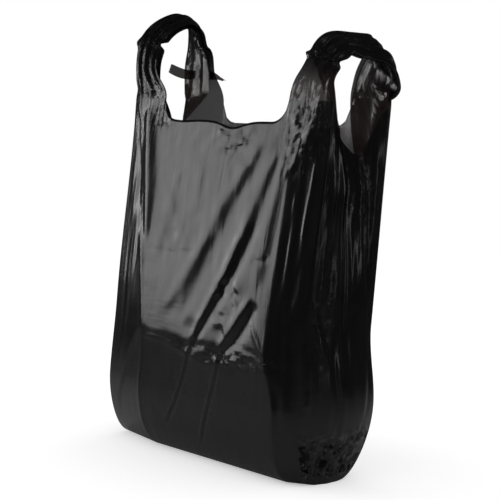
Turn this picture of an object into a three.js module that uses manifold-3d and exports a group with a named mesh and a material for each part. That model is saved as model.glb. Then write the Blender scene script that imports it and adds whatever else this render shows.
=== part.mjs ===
// A black film carrier bag standing open: gusseted body, cut-out mouth, two looped handles.
// Millimetres, +Z up. The front panel faces -Y, the middle of the base is the origin.
import * as THREE from "three";
import Module from "manifold-3d";

const wasm = await Module();
wasm.setup();

// Driving sizes of the bag
const bagWidth = 300;
const gussetHalf = 75;
const mouthHeight = 350;
const filmThickness = 1.2;
const strandThickness = 1.5;
const baseWidth = 290;
const baseHalfDepth = 28;
const baseEndHalfDepth = 8;
const bellyHeight = 72;
const bellyHalfDepth = 49.5;
const bellyHalfWidth = bagWidth / 2 + 1.5;
const waistHeight = 155;
const waistHalfDepth = 43;
const waistHalfWidth = bagWidth / 2 - 2;
const mouthHalfDepth = 40;
const frontBulge = 16;
const backBulge = 14;
const mouthSag = 5;
const mouthBulgeShare = 0.3;
const foldFadeHeight = 30;
const gussetBelly = 3;

// How far the bag leans to the right and to the front by the height of the mouth
const leanRight = 20;
const leanFront = 3;

// The middle fold of a gusset, drawn in (or pushed out, where negative) as a share
// of the farthest that the gusset film would let it go
const gussetDrawAtBase = -0.03;
const leftGussetDrawAtBelly = -0.15;
const rightGussetDrawAtBelly = -0.2;
const gussetDrawAtWaist = -0.08;
const gussetDrawHigh = 0.12;
const gussetDrawAtMouth = 0.42;

// Where the cut of the mouth runs, as shares of the panel width and of a gusset half
const strandShare = 0.1875;
const gussetStrandShare = 7 / 9;
const strandWidth = strandShare * bagWidth;
const strandOverlap = 12;
const cornerFlare = 0.07;

// The strands, once gathered: how wide they are in front, over the arch and behind,
// how far the two layers stand apart there, how deep the pleats are, how far the arch
// is twisted (radians), and the ear of film that sticks out where the top weld ends.
// Places along a handle are shares of its length. The spine gives the places of the
// handle's middle line: right of the bag's middle, behind it, and above the base.
const leftStrand = {
  frontWidth: strandWidth * 0.8,
  archWidth: strandWidth * 0.57,
  backWidth: strandWidth * 0.96,
  gap: 5,
  archGap: 12,
  pleat: 1.8,
  twist: 0.45,
  ear: 8,
  weldAt: 0.385,
  gatherEnd: 0.225,
  spine: [
    [-110, -35, 338],
    [-111, -39, 370],
    [-112, -42, 395],
    [-112, -40, 418],
    [-112, -32, 438],
    [-113, -15, 454],
    [-114, 3, 458],
    [-115, 17, 452],
    [-117, 26, 437],
    [-116, 32, 410],
    [-114, 36, 385],
    [-110, 34, 338],
  ],
};
const rightStrand = {
  frontWidth: strandWidth * 0.86,
  archWidth: strandWidth * 0.68,
  backWidth: strandWidth * 1.2,
  gap: 5,
  archGap: 14,
  pleat: 1.8,
  twist: 0.5,
  ear: 9,
  weldAt: 0.377,
  gatherEnd: 0.235,
  spine: [
    [138, -35, 338],
    [140, -39, 365],
    [142, -41, 380],
    [146, -37, 397],
    [150, -31, 413],
    [151, -18, 425],
    [152, 2, 424],
    [154, 20, 418],
    [149, 34, 406],
    [143, 40, 390],
    [140, 39, 372],
    [138, 34, 338],
  ],
};
const gatherStart = 0.09;

// How finely the film is divided
const frontSteps = 32;
const backSteps = 16;
const gussetSteps = 9;
const levelCount = 22;
const strandPoints = 13;
const strandStations = 30;

// The two long creases that bound the flat face of the front panel, as places on the
// panel: a height and a share of its width
const leftCrease = [
  [0, 0.25],
  [16, 0.246],
  [134, 0.226],
  [208, 0.164],
  [290, 0.098],
  [360, 0.042],
];
const rightCrease = [
  [0, 0.94],
  [75, 0.924],
  [114, 0.884],
  [134, 0.868],
  [302, 0.86],
  [336, 0.93],
  [366, 0.95],
];

// Folds pressed into the film. Each runs from one place to another, given as
// a share of the panel width and a height, and stands out (or in) by its rise.
const frontFolds = [
  { from: [0.7, 335], to: [0.38, 138], rise: 2.4, reach: 0.05 },
  { from: [0.76, 330], to: [0.45, 140], rise: -2.4, reach: 0.05 },
  { from: [0.8, 325], to: [0.49, 116], rise: 2.2, reach: 0.04 },
  { from: [0.84, 320], to: [0.56, 120], rise: -2.6, reach: 0.045 },
  { from: [0.79, 190], to: [0.65, 112], rise: -2.8, reach: 0.05 },
  { from: [0.5, 118], to: [0.334, 21], rise: -1.8, reach: 0.03 },
  { from: [0.66, 118], to: [0.52, 10], rise: -1.8, reach: 0.03 },
  { from: [0.11, 350], to: [0.18, 218], rise: 2, reach: 0.045 },
  { from: [0.5, 345], to: [0.64, 310], rise: 2, reach: 0.05 },
];
const gussetFolds = [
  { from: [0.12, 350], to: [0.16, 110], rise: 4, reach: 0.05 },
  { from: [0.3, 350], to: [0.34, 160], rise: -4, reach: 0.045 },
  { from: [0.72, 350], to: [0.66, 140], rise: -4, reach: 0.045 },
  { from: [0.88, 330], to: [0.82, 90], rise: 3, reach: 0.05 },
  { from: [0.2, 70], to: [0.5, 20], rise: 3, reach: 0.06 },
  { from: [0.8, 70], to: [0.5, 34], rise: 3, reach: 0.06 },
];
const backFolds = [
  { from: [0.2, 345], to: [0.42, 60], rise: -5, reach: 0.06 },
  { from: [0.8, 345], to: [0.58, 90], rise: -5, reach: 0.06 },
  { from: [0.5, 335], to: [0.5, 150], rise: 3, reach: 0.08 },
];

function blend(a, b, share) {
  return a + (b - a) * share;
}

function smooth(low, high, value) {
  const share = Math.min(1, Math.max(0, (value - low) / (high - low)));
  return share * share * (3 - 2 * share);
}

// A straight-sided line through knots given as [height, value]
function lineThrough(knots, z) {
  let i = 1;
  while (i + 1 < knots.length && z > knots[i][0]) i++;
  const low = knots[i - 1];
  const high = knots[i];
  return blend(low[1], high[1], (z - low[0]) / (high[0] - low[0]));
}

// A smooth curve through knots given as [height, value]
function alongHeight(knots, z) {
  let low = knots[0];
  let high = knots[knots.length - 1];
  for (let i = 1; i < knots.length; i++) {
    if (z >= knots[i - 1][0] && z <= knots[i][0]) {
      low = knots[i - 1];
      high = knots[i];
    }
  }
  return blend(low[1], high[1], smooth(low[0], high[0], z));
}

function halfWidthAt(z) {
  return alongHeight(
    [
      [0, baseWidth / 2],
      [bellyHeight, bellyHalfWidth],
      [waistHeight, waistHalfWidth],
      [mouthHeight, bagWidth / 2],
    ],
    z,
  );
}

// How far the four long edge folds stand from the middle plane.
// It grows like a quarter circle up to the belly, then eases in to waist and mouth.
function edgeHalfDepthAt(z) {
  const rise = Math.min(1, z / bellyHeight);
  const round = Math.sqrt(1 - (1 - rise) * (1 - rise));
  const low = blend(baseEndHalfDepth, bellyHalfDepth, round);
  const high = alongHeight(
    [
      [bellyHeight, bellyHalfDepth],
      [waistHeight, waistHalfDepth],
      [mouthHeight, mouthHalfDepth],
    ],
    z,
  );
  return z < bellyHeight ? low : high;
}

function bulgeAt(z, full) {
  const atBase = baseHalfDepth - baseEndHalfDepth;
  const belly = smooth(0, bellyHeight, z);
  const top = smooth(bellyHeight * 2, mouthHeight, z);
  return blend(blend(atBase, full, belly), full * mouthBulgeShare, top);
}

// How far the middle fold of a gusset is drawn in behind the edge folds
function gussetDrawAt(z, side) {
  const atBelly = side < 0 ? leftGussetDrawAtBelly : rightGussetDrawAtBelly;
  const share = alongHeight(
    [
      [0, gussetDrawAtBase],
      [bellyHeight, atBelly],
      [mouthHeight * 0.5, gussetDrawAtWaist],
      [mouthHeight * 0.8, gussetDrawHigh],
      [mouthHeight, gussetDrawAtMouth],
    ],
    z,
  );
  const depth = edgeHalfDepthAt(z);
  return share * Math.sqrt(gussetHalf * gussetHalf - depth * depth);
}

// A place in the plan view, moved over by the lean at its height
function leaning(x, y, z) {
  const share = z / mouthHeight;
  return new THREE.Vector2(x + leanRight * share, y - leanFront * share);
}

// A fold is a ridge with straight flanks, fading out at both ends
function foldRise(folds, share, z, scale) {
  let sum = 0;
  for (const fold of folds) {
    const along = (fold.from[1] - z) / (fold.from[1] - fold.to[1]);
    if (along <= 0 || along >= 1) continue;
    const middle = blend(fold.from[0], fold.to[0], along);
    const away = Math.abs(share - middle) / fold.reach;
    if (away >= 1) continue;
    const ends = smooth(0, 0.15, along) * (1 - smooth(0.75, 1, along));
    sum += fold.rise * (1 - away) * ends * scale;
  }
  return sum;
}

function frontPanelPoint(share, z) {
  const half = halfWidthAt(z);
  const left = lineThrough(leftCrease, z);
  const right = lineThrough(rightCrease, z);
  const plateau = Math.min(1, share / left, (1 - share) / (1 - right));
  const bulge = bulgeAt(z, frontBulge) * plateau;
  const lowFade = smooth(0, foldFadeHeight, z);
  const y = -edgeHalfDepthAt(z) - bulge;
  const rise = foldRise(frontFolds, share, z, lowFade);
  return leaning(half * (2 * share - 1), y - rise, z);
}

function backPanelPoint(share, z) {
  const half = halfWidthAt(z);
  const arc = Math.sin(Math.PI * share);
  const bulge = bulgeAt(z, backBulge) * Math.sqrt(arc);
  const lowFade = smooth(0, foldFadeHeight, z);
  const rise = foldRise(backFolds, share, z, lowFade);
  const y = edgeHalfDepthAt(z) + bulge + rise;
  return leaning(half * (2 * share - 1), y, z);
}

// share runs from the front edge fold to the back edge fold of one gusset
function gussetPoint(share, z, side) {
  const half = halfWidthAt(z);
  const depth = edgeHalfDepthAt(z);
  const draw = gussetDrawAt(z, side);
  const inward = 1 - Math.abs(2 * share - 1);
  const open = smooth(0, bellyHeight, z);
  const belly = gussetBelly * Math.sin(2 * Math.PI * Math.min(share, 1 - share));
  const fade = open * Math.sin(Math.PI * share);
  const outward = belly * open + foldRise(gussetFolds, share, z, fade);
  const x = side * (half - draw * inward + outward);
  return leaning(x, depth * (2 * share - 1), z);
}

// The closed outline of the film at one height, anticlockwise seen from above
function outlineAt(z) {
  const points = [];
  for (let i = 0; i < frontSteps; i++) {
    points.push(frontPanelPoint(i / frontSteps, z));
  }
  const around = 2 * gussetSteps;
  for (let i = 0; i < around; i++) {
    points.push(gussetPoint(i / around, z, 1));
  }
  for (let i = 0; i < backSteps; i++) {
    points.push(backPanelPoint(1 - i / backSteps, z));
  }
  for (let i = 0; i < around; i++) {
    points.push(gussetPoint(1 - i / around, z, -1));
  }
  return points;
}

// Moves a line of points sideways by a distance, measured square to the line
function offsetLine(points, distance, closed) {
  const last = points.length - 1;
  return points.map((point, i) => {
    const before = points[i === 0 ? (closed ? last : 0) : i - 1];
    const after = points[i === last ? (closed ? 0 : last) : i + 1];
    const first = point.clone().sub(before);
    const second = after.clone().sub(point);
    if (first.length() === 0) first.copy(second);
    if (second.length() === 0) second.copy(first);
    const n1 = new THREE.Vector2(-first.y, first.x).normalize();
    const n2 = new THREE.Vector2(-second.y, second.x).normalize();
    const normal = n1.add(n2).normalize();
    const square = new THREE.Vector2(-second.y, second.x).normalize();
    const miter = Math.min(1.8, 1 / Math.max(0.2, normal.dot(square)));
    return point.clone().addScaledVector(normal, distance * miter);
  });
}

function geometryFrom(positions, faces) {
  const geometry = new THREE.BufferGeometry();
  const flat = positions.flatMap((p) => [p.x, p.y, p.z]);
  geometry.setAttribute("position", new THREE.Float32BufferAttribute(flat, 3));
  geometry.setIndex(faces);
  return geometry;
}

// Joins two rings of equal count with two triangles per step
function joinRings(faces, lower, upper, count, closed) {
  const steps = closed ? count : count - 1;
  for (let i = 0; i < steps; i++) {
    const next = (i + 1) % count;
    faces.push(lower + i, lower + next, upper + next);
    faces.push(lower + i, upper + next, upper + i);
  }
}

// Heights are closer together where the film turns under the base
function levelHeights() {
  const heights = [];
  for (let i = 0; i < levelCount; i++) {
    heights.push(mouthHeight * Math.pow(i / (levelCount - 1), 1.25));
  }
  return heights;
}

// The mouth edge dips in the middle of the front and back panels
function mouthDip(index, z) {
  const backStart = frontSteps + 2 * gussetSteps;
  let share = -1;
  if (index <= frontSteps) share = index / frontSteps;
  if (index >= backStart && index <= backStart + backSteps) {
    share = 1 - (index - backStart) / backSteps;
  }
  if (share < strandShare || share > 1 - strandShare) return 0;
  const open = (share - strandShare) / (1 - 2 * strandShare);
  return mouthSag * Math.sin(Math.PI * open) * smooth(0.8, 1, z / mouthHeight);
}

function bodyGeometry() {
  const heights = levelHeights();
  const count = outlineAt(0).length;
  const positions = [];
  const faces = [];
  for (const z of heights) {
    outlineAt(z).forEach((p, i) => {
      positions.push(new THREE.Vector3(p.x, p.y, z - mouthDip(i, z)));
    });
  }
  const innerStart = positions.length;
  heights.forEach((z, level) => {
    const inner = offsetLine(outlineAt(z), filmThickness, true);
    inner.forEach((p, i) => {
      const floor = level === 0 ? filmThickness : 0;
      positions.push(new THREE.Vector3(p.x, p.y, z + floor - mouthDip(i, z)));
    });
  });
  for (let level = 0; level + 1 < levelCount; level++) {
    joinRings(faces, level * count, (level + 1) * count, count, true);
    const low = innerStart + level * count;
    joinRings(faces, low + count, low, count, true);
  }
  const rim = (levelCount - 1) * count;
  joinRings(faces, rim, innerStart + rim, count, true);
  const underside = positions.length;
  positions.push(new THREE.Vector3(0, 0, 0));
  positions.push(new THREE.Vector3(0, 0, filmThickness));
  for (let i = 0; i < count; i++) {
    const next = (i + 1) % count;
    faces.push(underside, next, i);
    faces.push(underside + 1, innerStart + i, innerStart + next);
  }
  return geometryFrom(positions, faces);
}

// The foot of a strand follows the body film: part of a panel, round the edge
// fold, and part of the gusset, so that both are one film.
function strandFoot(q, side, front, z, flare) {
  const panelPart = strandShare + flare;
  if (q <= 0.5) {
    const share = panelPart * (1 - 2 * q);
    const across = side < 0 ? share : 1 - share;
    const p = front ? frontPanelPoint(across, z) : backPanelPoint(across, z);
    return new THREE.Vector3(p.x, p.y, z);
  }
  const share = gussetStrandShare * 0.5 * (2 * q - 1);
  const p = gussetPoint(front ? share : 1 - share, z, side);
  return new THREE.Vector3(p.x, p.y, z);
}

// The gathered strand: the film is folded double along its outer edge and
// drawn into soft pleats. across runs toward the mouth, out leaves the loop.
function gatheredOffset(q, width, gap, pleat, ear) {
  const toward = q <= 0.5 ? 1 - 4 * q : 4 * q - 3;
  const layer = smooth(0.36, 0.64, q) - 0.5;
  const wave = pleat * Math.cos(toward * Math.PI * 2.4);
  const reach = toward < 0 ? 1 + (2 * ear * Math.pow(toward, 4)) / width : 1;
  return { across: (toward * reach * width) / 2, out: wave - gap * layer };
}

function strandSection(spine, share, side, shape) {
  const middle = spine.getPointAt(share);
  const tangent = spine.getTangentAt(share);
  const inward = new THREE.Vector3(-side, 0, 0);
  inward.addScaledVector(tangent, -inward.dot(tangent)).normalize();
  const out = new THREE.Vector3(1, 0, 0).cross(tangent).normalize();
  const front = share < 0.5;
  const fromFoot = front ? share : 1 - share;
  const arch = smooth(0.24, 0.5, fromFoot);
  inward.applyAxisAngle(tangent, shape.twist * arch);
  out.applyAxisAngle(tangent, shape.twist * arch);
  const footZ = mouthHeight - strandOverlap + fromFoot * spine.getLength();
  const gather = smooth(gatherStart, shape.gatherEnd, fromFoot);
  const flare = cornerFlare * (1 - smooth(0, 0.12, fromFoot));
  const footWidth = front ? shape.frontWidth : shape.backWidth;
  const width = blend(footWidth, shape.archWidth, smooth(0.19, 0.435, fromFoot));
  const gap = blend(shape.gap, shape.archGap, arch);
  const ear = shape.ear * Math.exp(-Math.pow((share - shape.weldAt) / 0.03, 2));
  const line = [];
  for (let i = 0; i < strandPoints; i++) {
    const q = i / (strandPoints - 1);
    const cappedZ = Math.min(footZ, mouthHeight);
    const foot = strandFoot(q, side, front, cappedZ, flare);
    foot.z = footZ;
    const offset = gatheredOffset(q, width, gap, shape.pleat, ear);
    const gathered = middle.clone();
    gathered.addScaledVector(inward, offset.across);
    gathered.addScaledVector(out, offset.out);
    line.push(foot.lerp(gathered, gather));
  }
  return { line, inward, out, middle };
}

// Gives the line of a section its thickness, in the plane of inward and out.
// The inner skin lies as deep as the body film's, the outer one just covers it.
function thickSection(section) {
  const flat = section.line.map((p) => {
    const rel = p.clone().sub(section.middle);
    return new THREE.Vector2(rel.dot(section.inward), rel.dot(section.out));
  });
  const outer = strandThickness - filmThickness;
  const sides = [filmThickness, -outer].map((d) => {
    const moved = offsetLine(flat, d, false);
    return moved.map((m, i) => {
      const p = section.line[i].clone();
      p.addScaledVector(section.inward, m.x - flat[i].x);
      p.addScaledVector(section.out, m.y - flat[i].y);
      return p;
    });
  });
  return [...sides[0], ...sides[1].reverse()];
}

function strandGeometry(side, shape) {
  const spinePoints = shape.spine.map((p) => new THREE.Vector3(...p));
  const spine = new THREE.CatmullRomCurve3(spinePoints, false, "centripetal");
  const ring = 2 * strandPoints;
  const positions = [];
  const faces = [];
  for (let i = 0; i < strandStations; i++) {
    const section = strandSection(spine, i / (strandStations - 1), side, shape);
    positions.push(...thickSection(section));
  }
  for (let i = 0; i + 1 < strandStations; i++) {
    joinRings(faces, i * ring, (i + 1) * ring, ring, true);
  }
  for (const start of [0, (strandStations - 1) * ring]) {
    for (let i = 0; i + 1 < strandPoints; i++) {
      const a = start + i;
      const b = start + i + 1;
      const c = start + ring - 2 - i;
      const d = start + ring - 1 - i;
      if (start === 0) faces.push(a, c, b, a, d, c);
      else faces.push(a, b, c, a, c, d);
    }
  }
  return geometryFrom(positions, faces);
}

function solidOf(geometry) {
  const make = (triVerts) =>
    new wasm.Manifold(
      new wasm.Mesh({
        numProp: 3,
        vertProperties: new Float32Array(geometry.attributes.position.array),
        triVerts,
      }),
    );
  const triVerts = new Uint32Array(geometry.index.array);
  const solid = make(triVerts);
  if (solid.volume() > 0) return solid;
  for (let i = 0; i < triVerts.length; i += 3) {
    [triVerts[i + 1], triVerts[i + 2]] = [triVerts[i + 2], triVerts[i + 1]];
  }
  return make(triVerts);
}

function geometryOfSolid(solid) {
  const mesh = solid.getMesh();
  const geometry = new THREE.BufferGeometry();
  const array = new Float32Array(mesh.vertProperties);
  geometry.setAttribute("position", new THREE.BufferAttribute(array, 3));
  geometry.setIndex(new THREE.BufferAttribute(mesh.triVerts, 1));
  return geometry;
}

function carrierBag() {
  const body = solidOf(bodyGeometry());
  const left = solidOf(strandGeometry(-1, leftStrand));
  const right = solidOf(strandGeometry(1, rightStrand));
  return geometryOfSolid(body.add(left).add(right));
}

const film = new THREE.MeshStandardMaterial({ color: 0x151516, roughness: 0.3 });
const bag = new THREE.Mesh(carrierBag(), film);
bag.name = "carrier_bag";

const group = new THREE.Group();
group.name = "film_carrier_bag";
group.add(bag);

export default group;
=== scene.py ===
# %% [markdown]
# A black film carrier bag, standing open.
#
# The bag is one tube of very thin, glossy black film. It is folded in at both sides
# (the gussets), welded along the bottom, and cut at the top so that four strands are
# left, which are joined in pairs as two handle loops. It is so glossy that nearly all
# that the eye sees of it is what it reflects, so its shape is built fold by fold.
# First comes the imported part, which fixes where everything is.

import bpy
import numpy as np
from mathutils import Matrix


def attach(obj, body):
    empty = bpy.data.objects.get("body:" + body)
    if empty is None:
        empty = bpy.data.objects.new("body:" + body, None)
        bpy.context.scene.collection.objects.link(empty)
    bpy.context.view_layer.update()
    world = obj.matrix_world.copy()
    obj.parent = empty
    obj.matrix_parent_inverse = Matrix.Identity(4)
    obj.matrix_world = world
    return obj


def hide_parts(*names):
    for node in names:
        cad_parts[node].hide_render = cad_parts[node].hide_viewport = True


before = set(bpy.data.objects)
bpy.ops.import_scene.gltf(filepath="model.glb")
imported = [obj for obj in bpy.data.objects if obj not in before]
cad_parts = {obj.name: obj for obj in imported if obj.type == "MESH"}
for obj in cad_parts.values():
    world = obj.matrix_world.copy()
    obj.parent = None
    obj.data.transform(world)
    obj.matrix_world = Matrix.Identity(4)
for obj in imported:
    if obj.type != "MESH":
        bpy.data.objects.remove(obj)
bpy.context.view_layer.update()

# %% [markdown]
# The camera stands to the right of the front panel and a little above the middle of
# the bag, turned down by a few degrees. It looks through a long lens, because the
# bag's far edges are hardly smaller than its near ones.

# %% Camera
CAMERA_PLACE = (1.0898, -0.9746, 0.3228)
CAMERA_TURN = np.radians(47.674)
CAMERA_DOWN = np.radians(4.13)
CAMERA_ROLL = np.radians(3.0)
CAMERA_LENS = 100.8


def camera_axes(turn, down, roll):
    """Right, up and back of a camera that looks at the bag from a turn about +Z."""
    back = np.array([np.sin(turn) * np.cos(down), -np.cos(turn) * np.cos(down), np.sin(down)])
    right = np.array([np.cos(turn), np.sin(turn), 0.0])
    up = np.cross(back, right)
    rolled_right = np.cos(roll) * right + np.sin(roll) * up
    rolled_up = np.cos(roll) * up - np.sin(roll) * right
    return rolled_right, rolled_up, back


lens = bpy.data.cameras.new("camera")
lens.lens = CAMERA_LENS
lens.sensor_width = 36.0
camera = bpy.data.objects.new("camera", lens)
bpy.context.collection.objects.link(camera)
axes = np.array(camera_axes(CAMERA_TURN, CAMERA_DOWN, CAMERA_ROLL)).T
camera.matrix_world = Matrix.Translation(CAMERA_PLACE) @ Matrix(axes.tolist()).to_4x4()
bpy.context.scene.camera = camera
print("camera at", CAMERA_PLACE)

# %% [markdown]
# A bag that stands open has a flat base, a belly a hand's breadth above it, a slight
# waist, and a shallower mouth. Its film doesn't stretch, so a few smooth curves over
# the height say all of this: half the width, half the depth, how far each panel
# bulges, and how far the middle fold of each gusset is drawn in. All lengths below
# are millimetres and are turned into metres when a mesh is made.

# %% Sizes and the curves over the height
BAG_WIDTH = 300.0
BASE_WIDTH = 294.0
MOUTH_HEIGHT = 350.0
GUSSET_HALF = 75.0
BASE_END_HALF_DEPTH = 16.0
BASE_HALF_DEPTH = 28.0
BELLY_HEIGHT = 72.0
FRONT_BELLY_HALF_DEPTH = 47.5
REAR_BELLY_HALF_DEPTH = 54.0
BELLY_HALF_WIDTH = 151.5
WAIST_HEIGHT = 155.0
FRONT_WAIST_HALF_DEPTH = 48.0
REAR_WAIST_HALF_DEPTH = 43.5
WAIST_HALF_WIDTH = 148.0
MOUTH_HALF_DEPTH = 40.0
BACK_BULGE = 14.0
MOUTH_BULGE_SHARE = 0.3
FRONT_FACE = [(BELLY_HEIGHT, 65.0), (128.0, 64.0), (MOUTH_HEIGHT, 45.0), (400.0, 41.0)]
LEAN = (20.0, -3.0)
LEFT_PINCH = 11.0
GUSSET_BELLY = 3.0
GUSSET_DRAW = {
    -1: [(0, -0.03), (BELLY_HEIGHT, -0.15), (175, -0.08), (280, 0.12), (MOUTH_HEIGHT, 0.62)],
    1: [(0, -0.03), (BELLY_HEIGHT, -0.2), (175, -0.08), (280, 0.12), (MOUTH_HEIGHT, 0.42)],
}
MM = 0.001


def smooth(low, high, value):
    """0 below low, 1 above high, and an S curve between: 3t^2 - 2t^3."""
    t = np.clip((value - low) / (high - low), 0.0, 1.0)
    return t * t * (3.0 - 2.0 * t)


def blend(a, b, share):
    """a where share is 0, b where it is 1, and straight between."""
    return a + (b - a) * share


def along(knots, z):
    """A smooth curve over z through knots [place, value]: an S between neighbours."""
    places, values = np.array(knots, float).T
    i = np.clip(np.searchsorted(places, z, side="right") - 1, 0, len(places) - 2)
    return blend(values[i], values[i + 1], smooth(places[i], places[i + 1], z))


def half_width(z):
    """Half the panel's width: base, belly, waist, mouth."""
    knots = [
        (0, BASE_WIDTH / 2),
        (BELLY_HEIGHT, BELLY_HALF_WIDTH),
        (WAIST_HEIGHT, WAIST_HALF_WIDTH),
        (MOUTH_HEIGHT, BAG_WIDTH / 2),
    ]
    return along(knots, z)


def quarter_rise(z):
    """0 at the base and 1 at the belly, along a quarter circle."""
    return np.sqrt(1.0 - (1.0 - np.clip(z / BELLY_HEIGHT, 0.0, 1.0)) ** 2)


def edge_depth(z, belly, waist):
    """Depth of an edge fold: a quarter circle up to the belly, then S curves."""
    low = blend(BASE_END_HALF_DEPTH, belly, quarter_rise(z))
    knots = [(BELLY_HEIGHT, belly), (WAIST_HEIGHT, waist), (MOUTH_HEIGHT, MOUTH_HALF_DEPTH)]
    return np.where(z < BELLY_HEIGHT, low, along(knots, z))


def front_edge(z):
    """How far the two front edge folds stand before the middle plane."""
    return edge_depth(z, FRONT_BELLY_HALF_DEPTH, FRONT_WAIST_HALF_DEPTH)


def rear_edge(z):
    """How far the two rear edge folds stand behind the middle plane."""
    return edge_depth(z, REAR_BELLY_HALF_DEPTH, REAR_WAIST_HALF_DEPTH)


def front_face(z):
    """How far the flat of the front stands out: round at the base, straight above the belly."""
    places, depths = np.array(FRONT_FACE).T
    low = blend(BASE_HALF_DEPTH, depths[0], quarter_rise(z))
    return np.where(z < BELLY_HEIGHT, low, np.interp(z, places, depths))


def back_bulge(z):
    """How far the back panel stands out beyond its edge folds."""
    base = BASE_HALF_DEPTH - BASE_END_HALF_DEPTH
    low = blend(base, BACK_BULGE, smooth(0.0, BELLY_HEIGHT, z))
    top = smooth(BELLY_HEIGHT * 2, MOUTH_HEIGHT, z)
    return blend(low, BACK_BULGE * MOUTH_BULGE_SHARE, top)


def gusset_draw(z, side):
    """How far the middle fold of a gusset lies behind its edge folds."""
    depth = 0.5 * (front_edge(z) + rear_edge(z))
    return along(GUSSET_DRAW[side], z) * np.sqrt(GUSSET_HALF**2 - depth**2)


def lean(z):
    """The bag leans a little as it rises, in proportion to the height."""
    return LEAN[0] * z / MOUTH_HEIGHT, LEAN[1] * z / MOUTH_HEIGHT


def left_pinch(z):
    """How far the rear left corner is pulled forward near the mouth."""
    return LEFT_PINCH * smooth(0.55 * MOUTH_HEIGHT, MOUTH_HEIGHT, z)


print("belly", FRONT_BELLY_HALF_DEPTH + REAR_BELLY_HALF_DEPTH, "mm deep at its edge folds")

# %% [markdown]
# The front panel has a flat middle between two long creases. Left of the left crease
# and right of the right one the film turns away to the edge folds, so those strips
# don't reflect what the middle does. That is why a softbox lights the middle alone.

# %% Panels as functions of a share across and a height
LEFT_CREASE = [(0, 0.25), (16, 0.246), (134, 0.226), (208, 0.164), (290, 0.098), (360, 0.042)]
RIGHT_CREASE = [
    (0, 0.94), (51, 0.934), (75, 0.924), (114, 0.884), (134, 0.868), (227, 0.865),
    (302, 0.86), (318, 0.885), (336, 0.93), (366, 0.95),
]


def crease_share(knots, z):
    """Where a long crease runs across the panel at height z: straight between knots."""
    places, shares = np.array(knots, float).T
    return np.interp(z, places, shares)


def front_panel(share, z):
    """Flat between the two creases, falling straight to the edge folds outside them."""
    left = share / crease_share(LEFT_CREASE, z)
    right = (1.0 - share) / (1.0 - crease_share(RIGHT_CREASE, z))
    plateau = np.minimum(1.0, np.minimum(left, right))
    lean_x, lean_y = lean(z)
    x = half_width(z) * (2.0 * share - 1.0) + lean_x
    y = -blend(front_edge(z), front_face(z), plateau) + lean_y
    return np.stack([x, y, z], axis=-1)


def back_panel(share, z):
    """A shallow arch between the two rear edge folds."""
    arch = np.sqrt(np.clip(np.sin(np.pi * share), 0.0, 1.0))
    lean_x, lean_y = lean(z)
    x = half_width(z) * (2.0 * share - 1.0) + lean_x
    y = rear_edge(z) + back_bulge(z) * arch + lean_y - left_pinch(z) * (1.0 - share) ** 3
    return np.stack([x, y, z], axis=-1)


def gusset(share, z, side):
    """From the front edge fold to the rear one, drawn in at its middle fold."""
    inward = 1.0 - np.abs(2.0 * share - 1.0)
    open_share = smooth(0.0, BELLY_HEIGHT, z)
    belly = GUSSET_BELLY * np.sin(2.0 * np.pi * np.minimum(share, 1.0 - share)) * open_share
    lean_x, lean_y = lean(z)
    x = side * (half_width(z) - gusset_draw(z, side) * inward + belly) + lean_x
    y = blend(-front_edge(z), rear_edge(z), share) + lean_y
    if side < 0:
        y = y - left_pinch(z) * share**2
    return np.stack([x, y, z], axis=-1)


# %% [markdown]
# The film is one net of quads. Its columns run round the bag: front, right gusset,
# back, left gusset. The columns of a strand are the same in number in front and
# behind, because one handle runs from the one to the other. Its rows run up to the
# cut of the mouth, which is low in the middle of a panel and rises in a round corner
# to each strand.

# %% Net of the body
STRAND_SHARE = 0.1875
GUSSET_STRAND_SHARE = 7 / 18
STRAND_COLUMNS = 27
MIDDLE_COLUMNS = 90
BACK_MIDDLE_COLUMNS = 30
GUSSET_STRAND_COLUMNS = 14
GUSSET_MIDDLE_COLUMNS = 8
ROWS = 130
ROW_POWER = 1.12
CORNER_RADIUS = 20.0
GUSSET_DIP = 4.0
RIGHT_SCOOP = (0.65, 0.16, 25.0)
FRONT_DIPS = [(0.56, 0.07, 6.5), (0.30, 0.05, 1.2)]
BACK_DIPS = [(0.6, 0.1, 2.0)]


def steps(edge, edge_count, middle_count):
    """Shares from 0 up to 1: even in the strand at each end, and even between them."""
    spans = [(0.0, edge, edge_count), (edge, 1 - edge, middle_count), (1 - edge, 1, edge_count)]
    return np.concatenate([np.linspace(a, b, n, endpoint=False) for a, b, n in spans])


front_shares = steps(STRAND_SHARE, STRAND_COLUMNS, MIDDLE_COLUMNS)
back_shares = 1 - steps(STRAND_SHARE, STRAND_COLUMNS, BACK_MIDDLE_COLUMNS)
gusset_shares = steps(GUSSET_STRAND_SHARE, GUSSET_STRAND_COLUMNS, GUSSET_MIDDLE_COLUMNS)
RIGHT_START = len(front_shares)
BACK_START = RIGHT_START + len(gusset_shares)
LEFT_START = BACK_START + len(back_shares)
COLUMNS = LEFT_START + len(gusset_shares)


def panel_top(share, dips):
    """Height of the cut: a round corner beside each strand, and dips (share, width, depth)."""
    inside = np.clip(np.minimum(share, 1 - share) - STRAND_SHARE, 0.0, 1.0) * BAG_WIDTH
    far = np.clip(1.0 - inside / CORNER_RADIUS, 0.0, 1.0)
    top = MOUTH_HEIGHT + CORNER_RADIUS * (1.0 - np.sqrt(1.0 - far**2))
    for place, width, depth in dips:
        top = top - depth * np.exp(-(((share - place) / width) ** 2))
    return top


def gusset_top(share, side):
    """The cut of a gusset: high at its edge folds, low between, scooped out on the right."""
    inside = np.minimum(share, 1 - share)
    drop = CORNER_RADIUS + GUSSET_DIP
    top = MOUTH_HEIGHT + CORNER_RADIUS - drop * smooth(0.0, 0.75 * GUSSET_STRAND_SHARE, inside)
    if side > 0:
        place, width, depth = RIGHT_SCOOP
        top = top - depth * np.exp(-(((share - place) / width) ** 2))
    return top


levels = MOUTH_HEIGHT * np.linspace(0.0, 1.0, ROWS) ** ROW_POWER


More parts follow.
